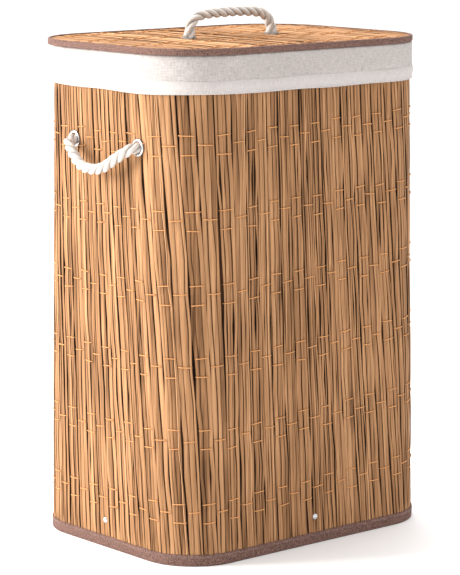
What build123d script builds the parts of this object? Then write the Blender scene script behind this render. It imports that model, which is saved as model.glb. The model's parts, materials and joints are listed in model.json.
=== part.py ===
"""Bamboo laundry hamper with a lift-off lid, a removable liner and rope handles.

Millimetres. +Z up, X along the wide face, the front is -Y. The origin is on the floor, at the middle of the
basket's plan.
"""
from build123d import *
import os
from math import pi, radians, tan

# ---------------------------------------------------------------- driving dimensions
WIDTH, DEPTH, CORNER = 400.0, 300.0, 73.0   # outside of the bamboo wall in plan
WALL_TOP = 588.5                            # upper edge of the bamboo mat
MAT = 4.0                                   # thickness of the wall's mat
TAPE = 0.8                                  # thickness of every binding tape
CLOTH = 1.2                                 # thickness of the liner's linen
GAP = 0.3                                   # clearance between pieces that move apart

BOTTOM_BINDING = 14.0                       # height of the tape round the floor edge
TOP_BINDING = 12.0                          # height of the tape under the cuff
SEAM_X, SEAM_WIDTH = 95.0, 22.0             # seam of the mat, on the back wall

WIRE, SLEEVE_BORE, SLEEVE = 4.0, 4.3, 6.4   # diameters of the frame wire and its cloth sleeve
TOP_FRAME_Z, BASE_FRAME_Z = 581.5, 18.0
BOARD = 3.0                                 # base board
LOOP_WIDTH, LOOP_CLOTH = 20.0, 1.2          # webbing loops that carry the base frame
LOOP_TOP, LOOP_SPLIT = 41.0, 28.0           # top of a loop, and where its two legs part
RIVET_Z, RIVET_HEAD, RIVET_DOME, RIVET_SHANK = 33.0, 8.0, 2.0, 3.0
RIVET_WASHER, WASHER = 9.0, 0.8             # diameter of a rivet's washer, thickness of any washer

LINER_INSET = 12.0                          # wall's outside to the liner's outside, at the rim
LINER_NECK_TOP, LINER_NECK_BOTTOM = 524.0, 490.0
LINER_END_INSET = 26.5                      # the same below the neck, clear of the handle knots
CUFF_INNER, CUFF_OUTER, HEM_OUTER = 1.2, 2.4, 3.4
CUFF_BOTTOM, HEM = 547.0, 15.0              # lower edge of the cuff, height of its hem

LID_MARGIN, LID_CORNER = 4.0, 88.0          # lid beyond the wall on every side
LID_X = -3.0                                # the loose lid lies a little to the left
LID_LINING, LID_BOARD, LID_MAT = 0.6, 2.0, 3.4
LID_TOP_LEG, LID_BOTTOM_LEG = 4.0, 8.0      # widths of the binding on the lid's two faces

ROPE = 11.5                                 # diameter of the cotton rope
ROPE_HOLE = 12.4                            # hole in the lid for it
HANDLE_Z, HANDLE_Y, HANDLE_SPAN = 484.0, -6.0, 120.0
EYELET, EYELET_BORE, EYELET_BARREL, EYELET_FLANGE = 20.8, 13.2, 14.4, 1.2
KNOT, KNOT_DEPTH, KNOT_ROUND = 24.0, 17.0, 6.0
TAIL, TAIL_LENGTH = 10.0, 30.0              # rope end below a knot, from the knot's middle
HINGE_OUT = 6.4                             # face of an eyelet or lid to the handle's hinge axis

# The side handle's route from its rear eyelet to its front one: distance along the wall from the handle's
# middle, distance out from the hinge axis, and height above the hinge axis.
SIDE_ROUTE = [
    (60.0, 0.0, 0.0),
    (53.0, 5.4, -5.0),
    (38.0, 10.4, -15.0),
    (17.0, 14.4, -28.5),
    (-17.0, 14.4, -28.5),
    (-38.0, 10.4, -15.0),
    (-53.0, 5.4, -5.0),
    (-60.0, 0.0, 0.0),
]
# The lid handle's route from left to right: along the lid, and height above the hinge axis.
LID_ROUTE = [
    (-68.7, 0.0),
    (-67.0, 9.8),
    (-60.7, 18.0),
    (-45.6, 21.4),
    (-18.5, 22.4),
    (10.6, 22.8),
    (36.6, 21.4),
    (50.1, 17.4),
    (57.2, 9.2),
    (60.5, 0.0),
]

# ---------------------------------------------------------------- worked out
HALF_X, HALF_Y = WIDTH / 2, DEPTH / 2
RIM = WALL_TOP + TAPE
CUFF_TOP = RIM + GAP + CLOTH
LID_Z = CUFF_TOP + 0.4
LID_TOP = LID_Z + 2 * TAPE + LID_LINING + LID_BOARD + LID_MAT
SLEEVE_OFFSET = MAT + LOOP_CLOTH + 0.1 + SLEEVE / 2   # wall's outside to the base frame's wire axis
RIM_FRAME_OFFSET = MAT + TAPE + 0.1 + SLEEVE / 2      # the same for the top frame
BOARD_Z = BASE_FRAME_Z + SLEEVE / 2 + 0.1
LINER_Z = BOARD_Z + BOARD + GAP
ROPE_R = ROPE / 2
SIDES = {"left": -1, "right": 1}
ENDS = {"front": -1, "back": 1}

os.makedirs("parts", exist_ok=True)


def write(piece, name):
    """Label a finished piece and write its STEP file."""
    piece.part.label = name
    export_step(piece.part, f"parts/{name}.step")


def plan(offset, mode=Mode.ADD):
    """The basket's rounded plan, grown by offset from the wall's outer face."""
    RectangleRounded(WIDTH + 2 * offset, DEPTH + 2 * offset, CORNER + offset, mode=mode)


def lid_plan(inset, mode=Mode.ADD):
    """The lid's rounded plan, drawn in by inset from its edge."""
    grown = LID_MARGIN - inset
    with Locations((LID_X, 0)):
        RectangleRounded(WIDTH + 2 * grown, DEPTH + 2 * grown, LID_CORNER - inset, mode=mode)


def band(outer, inner, bottom, top, mode=Mode.ADD, shape=plan):
    """A band round the plan between two offsets and two heights."""
    with BuildSketch(Plane.XY.offset(bottom)) as ring:
        shape(outer)
        shape(inner, Mode.SUBTRACT)
    extrude(ring.sketch, amount=top - bottom, mode=mode)


def slab(offset, bottom, top, mode=Mode.ADD, shape=plan):
    """A full plate of the plan's shape."""
    with BuildSketch(Plane.XY.offset(bottom)) as face:
        shape(offset)
    extrude(face.sketch, amount=top - bottom, mode=mode)


def disc(plane, diameter, depth, mode=Mode.ADD):
    """A disc that stands on a plane and reaches depth along its normal."""
    with BuildSketch(plane) as circle:
        Circle(diameter / 2)
    extrude(circle.sketch, amount=depth, mode=mode)


def ring_wire(offset, height, outer, bore=0.0):
    """A round wire, or a tube, bent to the basket's plan."""
    with BuildSketch(Plane.XY.offset(height)) as course:
        plan(-offset)
    path = course.sketch.faces()[0].outer_wire()
    with BuildSketch(Plane(origin=path @ 0, z_dir=path % 0)) as section:
        Circle(outer / 2)
        if bore:
            Circle(bore / 2, mode=Mode.SUBTRACT)
    sweep(section.sketch, path=path)


def side_plane(side, end, out):
    """Plane at a side eyelet, with its normal pointing out of the wall."""
    y = HANDLE_Y + end * HANDLE_SPAN / 2
    return Plane(origin=(side * (HALF_X + out), y, HANDLE_Z), x_dir=(0, 1, 0), z_dir=(side, 0, 0))


def wall_planes(height, out):
    """Planes at the middles of the four faces, normals out: left, right, front, back."""
    return {
        "left": Plane(origin=(-HALF_X - out, 0, height), x_dir=(0, -1, 0), z_dir=(-1, 0, 0)),
        "right": Plane(origin=(HALF_X + out, 0, height), x_dir=(0, 1, 0), z_dir=(1, 0, 0)),
        "front": Plane(origin=(0, -HALF_Y - out, height), x_dir=(1, 0, 0), z_dir=(0, -1, 0)),
        "back": Plane(origin=(0, HALF_Y + out, height), x_dir=(-1, 0, 0), z_dir=(0, 1, 0)),
    }


def tangent_radii(points):
    """Radius of each corner of a rope's route: as large as its two runs allow."""
    spots = [Vector(*p) for p in points]
    radii = []
    for before, here, after in zip(spots, spots[1:], spots[2:]):
        turn = (here - before).get_angle(after - here)
        shorter = min((here - before).length, (after - here).length)
        radii.append(0.45 * shorter / tan(radians(turn / 2)))
    return radii


# ---------------------------------------------------------------- basket
with BuildPart() as bamboo_wall:
    band(0, -MAT, TAPE, WALL_TOP)
    for side in SIDES.values():
        for end in ENDS.values():
            disc(side_plane(side, end, 1), EYELET_BARREL + 0.2, -MAT - 2, Mode.SUBTRACT)
    for plane in wall_planes(RIVET_Z, 1).values():
        disc(plane, RIVET_SHANK + 0.2, -MAT - 2, Mode.SUBTRACT)
write(bamboo_wall, "bamboo_wall")

with BuildPart() as wall_seam_tape:
    for inner_face in (HALF_Y, HALF_Y - MAT - TAPE):
        with Locations((SEAM_X, inner_face + TAPE / 2, (BOTTOM_BINDING + WALL_TOP + TAPE - TOP_BINDING) / 2)):
            Box(SEAM_WIDTH, TAPE, WALL_TOP + TAPE - TOP_BINDING - BOTTOM_BINDING)
write(wall_seam_tape, "wall_seam_tape")

with BuildPart() as bottom_binding:
    band(TAPE, -MAT - TAPE, 0, BOTTOM_BINDING)
    band(0, -MAT, TAPE, BOTTOM_BINDING, Mode.SUBTRACT)
write(bottom_binding, "bottom_binding")

with BuildPart() as top_binding:
    band(TAPE, -MAT - TAPE, RIM - TOP_BINDING, RIM)
    band(0, -MAT, RIM - TOP_BINDING, WALL_TOP, Mode.SUBTRACT)
write(top_binding, "top_binding")

with BuildPart() as top_frame:
    ring_wire(RIM_FRAME_OFFSET, TOP_FRAME_Z, WIRE)
write(top_frame, "top_frame")

with BuildPart() as top_frame_sleeve:
    ring_wire(RIM_FRAME_OFFSET, TOP_FRAME_Z, SLEEVE, SLEEVE_BORE)
write(top_frame_sleeve, "top_frame_sleeve")

with BuildPart() as base_frame:
    ring_wire(SLEEVE_OFFSET, BASE_FRAME_Z, WIRE)
write(base_frame, "base_frame")

with BuildPart() as base_frame_sleeve:
    ring_wire(SLEEVE_OFFSET, BASE_FRAME_Z, SLEEVE, SLEEVE_BORE)
write(base_frame_sleeve, "base_frame_sleeve")

with BuildPart() as base_board:
    slab(-MAT - 2, BOARD_Z, BOARD_Z + BOARD)
    for plane in wall_planes(BOARD_Z + BOARD / 2, -MAT - 6).values():
        with Locations(plane):
            Box(LOOP_WIDTH + 3, BOARD + 2, 10, mode=Mode.SUBTRACT)
write(base_board, "base_board")

# A loop of webbing in section: x is the distance in from the wall's inner face, y the height.
ring_x = LOOP_CLOTH + 0.1 + SLEEVE / 2
for face, plane in wall_planes(0, -MAT).items():
    loop_edge = plane.origin - plane.x_dir * LOOP_WIDTH / 2
    section_plane = Plane(origin=loop_edge, x_dir=-plane.z_dir, z_dir=plane.x_dir)
    with BuildPart() as base_loop:
        with BuildSketch(section_plane):
            with Locations((ring_x, BASE_FRAME_Z)):
                Circle(SLEEVE / 2 + 0.1 + LOOP_CLOTH)
            with BuildLine():
                Polyline(
                    (0, BASE_FRAME_Z),
                    (0, LOOP_TOP),
                    (2 * LOOP_CLOTH, LOOP_TOP),
                    (2 * LOOP_CLOTH, LOOP_SPLIT),
                    (ring_x + SLEEVE / 2 + 0.1 + LOOP_CLOTH, BASE_FRAME_Z),
                    close=True,
                )
            make_face()
            with Locations((ring_x, BASE_FRAME_Z)):
                Circle(SLEEVE / 2 + 0.1, mode=Mode.SUBTRACT)
            with BuildLine():
                Polyline(
                    (LOOP_CLOTH, BASE_FRAME_Z),
                    (LOOP_CLOTH, LOOP_SPLIT - 0.6),
                    (ring_x + SLEEVE / 2 + 0.1, BASE_FRAME_Z),
                    close=True,
                )
            make_face(mode=Mode.SUBTRACT)
        extrude(amount=LOOP_WIDTH)
        disc(wall_planes(RIVET_Z, 1)[face], RIVET_SHANK + 0.2, -MAT - 2 * LOOP_CLOTH - 3, Mode.SUBTRACT)
    write(base_loop, f"base_loop_{face}")

with BuildPart() as base_rivets:
    for plane in wall_planes(RIVET_Z, 0).values():
        with BuildSketch(plane) as head:
            Circle(RIVET_HEAD / 2)
        extrude(head.sketch, amount=RIVET_DOME, taper=32)
        disc(plane, RIVET_SHANK, -MAT - 2 * LOOP_CLOTH - WASHER)
    for plane in wall_planes(RIVET_Z, -MAT - 2 * LOOP_CLOTH - WASHER).values():
        disc(plane, RIVET_HEAD - 2.4, -1.0)
write(base_rivets, "base_rivets")

with BuildPart() as base_rivet_washers:
    for plane in wall_planes(RIVET_Z, -MAT - 2 * LOOP_CLOTH).values():
        disc(plane, RIVET_WASHER, -WASHER)
        disc(plane, RIVET_SHANK + 0.2, -WASHER, Mode.SUBTRACT)
write(base_rivet_washers, "base_rivet_washers")

# ---------------------------------------------------------------- handles and what holds them
for side_name, side in SIDES.items():
    with BuildPart() as eyelets:
        for end in ENDS.values():
            disc(side_plane(side, end, 0), EYELET, EYELET_FLANGE)
            disc(side_plane(side, end, 0), EYELET_BARREL, -MAT - WASHER)
            disc(side_plane(side, end, -MAT - WASHER), EYELET_BARREL + 2, -TAPE)
            disc(side_plane(side, end, EYELET_FLANGE), EYELET_BORE, -MAT - WASHER - 4, Mode.SUBTRACT)
        fillet(eyelets.edges().filter_by(GeomType.CIRCLE).sort_by(SortBy.RADIUS)[-1:], 0.5)
    write(eyelets, f"{side_name}_eyelets")

    with BuildPart() as washers:
        for end in ENDS.values():
            disc(side_plane(side, end, -MAT), EYELET, -WASHER)
            disc(side_plane(side, end, -MAT), EYELET_BARREL + 0.2, -WASHER, Mode.SUBTRACT)
    write(washers, f"{side_name}_eyelet_washers")

    for end_name, end in ENDS.items():
        knot_face = side_plane(side, end, -MAT - WASHER - TAPE)
        with BuildPart() as knot:
            disc(knot_face, KNOT, -KNOT_DEPTH)
            fillet(knot.edges(), KNOT_ROUND)
            disc(side_plane(side, end, EYELET_FLANGE), ROPE, -MAT - WASHER - TAPE - KNOT_DEPTH / 2)
            with BuildSketch(Plane(origin=knot_face.origin - knot_face.z_dir * KNOT_DEPTH / 2, z_dir=(0, 0, -1))):
                Circle(TAIL / 2)
            extrude(amount=TAIL_LENGTH)
        write(knot, f"{side_name}_handle_{end_name}_knot")

hinge_x = HALF_X + EYELET_FLANGE + HINGE_OUT
hinge_z = LID_TOP + HINGE_OUT
routes = {
    "lid_handle": [(x, 0.0, hinge_z + z) for x, z in LID_ROUTE],
    "left_handle": [(-hinge_x - out, HANDLE_Y + y, HANDLE_Z + z) for y, out, z in SIDE_ROUTE],
}
ropes = {}
for name, route in routes.items():
    radii = tangent_radii(route)
    with BuildPart() as ropes[name]:
        with BuildLine() as course:
            FilletPolyline(*route, radius=radii)
        with BuildSketch(Plane(origin=course.line @ 0, z_dir=course.line % 0)):
            Circle(ROPE_R)
        sweep()
        with Locations(route[0], route[-1]):
            Sphere(ROPE_R)
    write(ropes[name], name)
    length = sum(edge.length for edge in course.line.edges())
    tube_volume = pi * ROPE_R**2 * (length + 4 / 3 * ROPE_R)
    print(name, "length", round(length, 1), "radii", [round(r, 1) for r in radii])
    print("  volume over section times length:", round(ropes[name].part.volume / tube_volume, 3))

with BuildPart() as right_handle:
    mirror(ropes["left_handle"].part, about=Plane.YZ)
write(right_handle, "right_handle")

# ---------------------------------------------------------------- removable liner


def bag(inset, end_inset, bottom, top, mode=Mode.ADD):
    """The liner's inside or outside: straight, drawn in at its ends, then out again to the rim."""
    low_width = WIDTH - 2 * end_inset
    high_width = WIDTH - 2 * inset
    depth = DEPTH - 2 * inset
    corner = CORNER - inset
    with BuildSketch(Plane.XY.offset(bottom)) as low:
        RectangleRounded(low_width, depth, corner)
    extrude(low.sketch, amount=LINER_NECK_BOTTOM - bottom, mode=mode)
    with BuildSketch(Plane.XY.offset(LINER_NECK_BOTTOM)) as neck:
        RectangleRounded(low_width, depth, corner)
    with BuildSketch(Plane.XY.offset(LINER_NECK_TOP)) as shoulder:
        RectangleRounded(high_width, depth, corner)
    loft([neck.sketch, shoulder.sketch], ruled=True, mode=mode)
    with BuildSketch(Plane.XY.offset(LINER_NECK_TOP)) as high:
        RectangleRounded(high_width, depth, corner)
    extrude(high.sketch, amount=top - LINER_NECK_TOP, mode=mode)


with BuildPart() as liner_walls:
    bag(LINER_INSET, LINER_END_INSET, LINER_Z + CLOTH, CUFF_TOP - CLOTH)
    bag(LINER_INSET + CLOTH, LINER_END_INSET + CLOTH, LINER_Z + CLOTH, CUFF_TOP - CLOTH, Mode.SUBTRACT)
write(liner_walls, "liner_walls")

with BuildPart() as liner_base:
    with BuildSketch(Plane.XY.offset(LINER_Z)):
        RectangleRounded(WIDTH - 2 * LINER_END_INSET, DEPTH - 2 * LINER_INSET, CORNER - LINER_INSET)
    extrude(amount=CLOTH)
write(liner_base, "liner_base")

with BuildPart() as liner_cuff:
    band(CUFF_OUTER, -LINER_INSET - CLOTH, CUFF_BOTTOM + HEM, CUFF_TOP)
    band(CUFF_INNER, -LINER_INSET - CLOTH, CUFF_BOTTOM + HEM, CUFF_TOP - CLOTH, Mode.SUBTRACT)
write(liner_cuff, "liner_cuff")

with BuildPart() as liner_cuff_hem:
    band(HEM_OUTER, CUFF_INNER, CUFF_BOTTOM, CUFF_BOTTOM + HEM)
write(liner_cuff_hem, "liner_cuff_hem")

# ---------------------------------------------------------------- lid
lid_feet = [LID_ROUTE[0][0], LID_ROUTE[-1][0]]
lining_z = LID_Z + TAPE
board_z = lining_z + LID_LINING
mat_z = board_z + LID_BOARD


def lid_holes():
    """The rope's two holes through a layer of the lid."""
    for x in lid_feet:
        disc(Plane(origin=(x, 0, LID_Z - 1)), ROPE_HOLE, LID_TOP - LID_Z + 2, Mode.SUBTRACT)


with BuildPart() as lid_lining:
    slab(TAPE, lining_z, board_z, shape=lid_plan)
    lid_holes()
write(lid_lining, "lid_lining")

with BuildPart() as lid_board:
    slab(TAPE, board_z, mat_z, shape=lid_plan)
    lid_holes()
write(lid_board, "lid_board")

with BuildPart() as lid_mat:
    slab(TAPE, mat_z, mat_z + LID_MAT, shape=lid_plan)
    lid_holes()
write(lid_mat, "lid_mat")

with BuildPart() as lid_binding:
    band(0, LID_BOTTOM_LEG, LID_Z, lining_z, shape=lid_plan)
    band(0, TAPE, lining_z, mat_z + LID_MAT, shape=lid_plan)
    band(0, LID_TOP_LEG, mat_z + LID_MAT, LID_TOP, shape=lid_plan)
write(lid_binding, "lid_binding")

for name, x in zip(("lid_handle_left_knot", "lid_handle_right_knot"), lid_feet):
    with BuildPart() as lid_knot:
        disc(Plane(origin=(x, 0, lining_z)), KNOT, -KNOT_DEPTH)
        fillet(lid_knot.edges(), KNOT_ROUND)
        disc(Plane(origin=(x, 0, mat_z + LID_MAT)), ROPE, -LID_MAT - LID_BOARD - LID_LINING - KNOT_DEPTH / 2)
    write(lid_knot, name)

print("lid top", LID_TOP, "lid hinge height", hinge_z, "side hinge x", hinge_x)
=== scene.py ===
"""Looks of the bamboo laundry hamper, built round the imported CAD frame. Metres, +Z up, the front is -Y."""
import json
import math

import bpy
import numpy as np
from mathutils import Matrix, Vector

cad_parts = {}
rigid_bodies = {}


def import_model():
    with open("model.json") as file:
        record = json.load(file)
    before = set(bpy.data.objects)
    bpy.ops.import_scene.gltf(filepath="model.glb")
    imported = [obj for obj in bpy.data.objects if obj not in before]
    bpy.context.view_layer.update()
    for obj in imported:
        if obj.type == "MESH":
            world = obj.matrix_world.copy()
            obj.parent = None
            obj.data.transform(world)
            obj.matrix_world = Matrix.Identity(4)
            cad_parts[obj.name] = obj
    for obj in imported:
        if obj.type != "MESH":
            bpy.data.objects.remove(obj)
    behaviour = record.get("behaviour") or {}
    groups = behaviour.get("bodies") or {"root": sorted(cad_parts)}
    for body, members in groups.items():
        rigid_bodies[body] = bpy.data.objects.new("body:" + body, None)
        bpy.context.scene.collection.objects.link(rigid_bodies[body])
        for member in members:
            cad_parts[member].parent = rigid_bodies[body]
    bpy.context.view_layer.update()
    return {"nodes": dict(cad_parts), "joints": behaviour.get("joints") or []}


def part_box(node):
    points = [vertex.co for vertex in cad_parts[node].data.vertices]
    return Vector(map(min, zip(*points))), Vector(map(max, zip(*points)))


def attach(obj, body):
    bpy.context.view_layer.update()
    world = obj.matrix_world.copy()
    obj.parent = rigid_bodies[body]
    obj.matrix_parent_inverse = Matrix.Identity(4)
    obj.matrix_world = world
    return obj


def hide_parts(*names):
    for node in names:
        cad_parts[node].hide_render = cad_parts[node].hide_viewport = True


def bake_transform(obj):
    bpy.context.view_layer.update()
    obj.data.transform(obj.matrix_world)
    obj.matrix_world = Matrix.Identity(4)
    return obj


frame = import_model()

MM = 0.001

# ---- sizes, from the frame
wall_low, wall_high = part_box("bamboo_wall")
binding_low, binding_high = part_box("bottom_binding")
rim_low, rim_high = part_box("top_binding")
cuff_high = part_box("liner_cuff")[1]
hem_low, hem_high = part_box("liner_cuff_hem")
bag_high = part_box("liner_walls")[1]
lid_low, lid_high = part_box("lid_binding")
seam_low, seam_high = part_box("wall_seam_tape")
joints = {joint["name"]: joint for joint in frame["joints"]}

HALF_X, HALF_Y = wall_high.x, wall_high.y
CORNER = 73 * MM                     # plan corner of the wall, on average
CORNER_FLARE = 0.034                 # the wall's corners grow rounder by this much of the height
MAT = 4 * MM                         # thickness of the wall's mat
WALL_BOTTOM, WALL_TOP = wall_low.z, wall_high.z
TAPE = wall_low.z - binding_low.z    # thickness of the binding tapes
LID_CORNER = 88 * MM
LID_X = (lid_low.x + lid_high.x) / 2
LID_HALF_X = (lid_high.x - lid_low.x) / 2
LID_HALF_Y = lid_high.y
LID_TOP = lid_high.z
BAG_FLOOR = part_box("liner_base")[0].z + 1 * MM
FACES = {"left": (-1, 0), "right": (1, 0), "front": (0, -1), "back": (0, 1)}   # outward directions

COLUMN = 18.3 * MM                   # width of one tied bundle of strips
ROW_GAP = 85 * MM                    # height between rows of thread
FIRST_ROW = 70 * MM                  # lowest row
ROWS = 6
THREAD_PAIR = 22 * MM                # height between the two threads of a double tie
SKEW = math.tan(math.radians(3.4))   # the mat's strips lean to the right going down
THREAD = 0.62 * MM                   # radius of the tying thread

ROPE = 11.5 * MM                     # diameter of the cotton rope
LAY = 37 * MM                        # length of one turn of its strands


# ---- curves and noise
def smooth(low, high, value):
    """Smooth step from 0 at low to 1 at high."""
    t = np.clip((value - low) / (high - low), 0, 1)
    return t * t * (3 - 2 * t)


def waves(position, length, count, low, high, source):
    """Sum of sines that closes over length, with whole wave numbers from low to high, about 1 high."""
    total = np.zeros_like(position)
    for number in source.randint(low, high + 1, count):
        total += np.sin(2 * np.pi * (number * position / length + source.rand()))
    return total / math.sqrt(count)


def travelled(path):
    """Distance along a path at each of its points."""
    return np.concatenate([[0], np.cumsum(np.linalg.norm(np.diff(path, axis=0), axis=1))])


class Plan:
    """A rounded rectangle walked anticlockwise, seen from above, from the back's right-hand end."""

    def __init__(self, half_x, half_y, corner, centre_x=0.0, flare=0.0, middle=0.0):
        self.centre_x, self.flare, self.middle = centre_x, flare, middle
        self.inner_x, self.inner_y, self.corner = half_x - corner, half_y - corner, corner
        arc = corner * math.pi / 2
        self.runs = np.array([2 * self.inner_x, arc, 2 * self.inner_y, arc] * 2)
        self.starts = np.concatenate([[0], np.cumsum(self.runs)])
        self.length = self.starts[-1]

    def at(self, distance, offset=0.0, height=None):
        """Places and outward normals at distances along the plan, offset outwards, at a height."""
        height = self.middle if height is None else height
        distance, offset, height = np.broadcast_arrays(distance, offset, height)
        distance = np.mod(distance, self.length)
        more = self.flare * (height - self.middle)
        run = np.clip(np.searchsorted(self.starts, distance, "right") - 1, 0, 7)
        side, bent = run // 2, run % 2
        here = distance - self.starts[run]
        walked = (1 - bent) * here * (1 - 2 * more / self.runs[run])
        angle = math.pi / 2 * (side + 1)
        turn = angle + bent * here / self.corner
        near = (side + bent) % 4
        x = np.array([1, -1, -1, 1])[near] * (self.inner_x - more) - np.sin(angle) * walked
        y = np.array([1, 1, -1, -1])[near] * (self.inner_y - more) + np.cos(angle) * walked
        nx, ny = np.cos(turn), np.sin(turn)
        reach = self.corner + more + offset
        return x + nx * reach + self.centre_x, y + ny * reach, nx, ny

    def points(self, distance, offset, height):
        """The same places as points."""
        x, y, _, _ = self.at(distance, offset, height)
        return np.stack([x, y, np.broadcast_to(height, x.shape)], -1)


wall_plan = Plan(HALF_X, HALF_Y, CORNER, flare=CORNER_FLARE, middle=150 * MM)
lid_plan = Plan(LID_HALF_X, LID_HALF_Y, LID_CORNER, LID_X)


# ---- mesh building
class Skin:
    """Grids of points, gathered into one smooth mesh with UVs in metres and a tone for each grid."""

    def __init__(self):
        self.points, self.faces, self.uvs, self.tones = [], [], [], []
        self.count = 0

    def grid(self, points, u=None, v=None, wrap_u=False, wrap_v=False, tone=0.5):
        """Add a grid [rows][columns] of points."""
        rows, cols = points.shape[:2]
        face_rows, face_cols = rows - (not wrap_v), cols - (not wrap_u)
        u = np.arange(cols + 1) * MM if u is None else u
        v = np.arange(rows + 1) * MM if v is None else v
        i, j = np.meshgrid(np.arange(face_rows), np.arange(face_cols), indexing="ij")
        k, m = (i + 1) % rows, (j + 1) % cols
        quads = np.stack([i * cols + j, i * cols + m, k * cols + m, k * cols + j], -1)
        corner_u = np.stack([u[j], u[j + 1], u[j + 1], u[j]], -1)
        corner_v = np.stack([v[i], v[i], v[i + 1], v[i + 1]], -1)
        self.faces.append(quads.reshape(-1, 4) + self.count)
        self.uvs.append(np.stack([corner_u, corner_v], -1).reshape(-1, 2))
        self.points.append(points.reshape(-1, 3))
        self.tones.append(np.broadcast_to(tone, (rows, cols)).reshape(-1))
        self.count += rows * cols

    def tube(self, path, radius, sides=6, tone=0.5, capped=True):
        """Add a round tube along a path of points. Radius is one number or one for each point."""
        path = np.asarray(path, float)
        radius = np.broadcast_to(radius, len(path)).astype(float)
        if capped:
            path = np.concatenate([path[:1], path, path[-1:]])
            radius = np.concatenate([[radius[0] * 0.05], radius, [radius[-1] * 0.05]])
        _, side, up = frames(path)
        angle = np.arange(sides)[:, None] / sides * 2 * np.pi
        ring = side[:, None] * np.cos(angle) + up[:, None] * np.sin(angle)
        points = path[:, None] + ring * radius[:, None, None]
        walked = travelled(path)
        u = np.arange(sides + 1) / sides * 2 * np.pi * radius.max()
        self.grid(points, u, np.append(walked, walked[-1]), wrap_u=True, tone=tone)

    def make(self, name, material):
        """The finished object."""
        points, faces = np.concatenate(self.points), np.concatenate(self.faces)
        mesh = bpy.data.meshes.new(name)
        mesh.from_pydata(points, [], faces, shade_flat=False)
        uvs = np.concatenate(self.uvs).astype(np.float32).ravel()
        mesh.uv_layers.new(name="UVMap").data.foreach_set("uv", uvs)
        tones = mesh.attributes.new("tone", "FLOAT", "POINT")
        tones.data.foreach_set("value", np.concatenate(self.tones).astype(np.float32))
        mesh.validate()
        mesh.materials.append(material)
        made = bpy.data.objects.new(name, mesh)
        bpy.context.scene.collection.objects.link(made)
        return made


def frames(path):
    """Unit vectors along a path and two across it, carried along without twist."""
    along = np.gradient(path, axis=0)
    same = np.linalg.norm(along, axis=1) < 1e-9
    along[same] = np.roll(along, -1, axis=0)[same]
    along /= np.maximum(np.linalg.norm(along, axis=1), 1e-12)[:, None]
    side = np.zeros_like(path)
    start = np.cross(along[0], [0.0, 0.0, 1.0])
    if np.linalg.norm(start) < 0.2:
        start = np.cross(along[0], [0.0, 1.0, 0.0])
    side[0] = start / np.linalg.norm(start)
    for i in range(1, len(path)):
        carried = side[i - 1] - along[i] * (side[i - 1] @ along[i])
        side[i] = carried / max(np.linalg.norm(carried), 1e-12)
    return along, side, np.cross(along, side)


def place(piece, body, slot, *nodes):
    """Put a piece on its body and hide the CAD nodes it stands for. The slot argument is not used."""
    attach(piece, body)
    if nodes:
        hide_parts(*nodes)
    return piece


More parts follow.
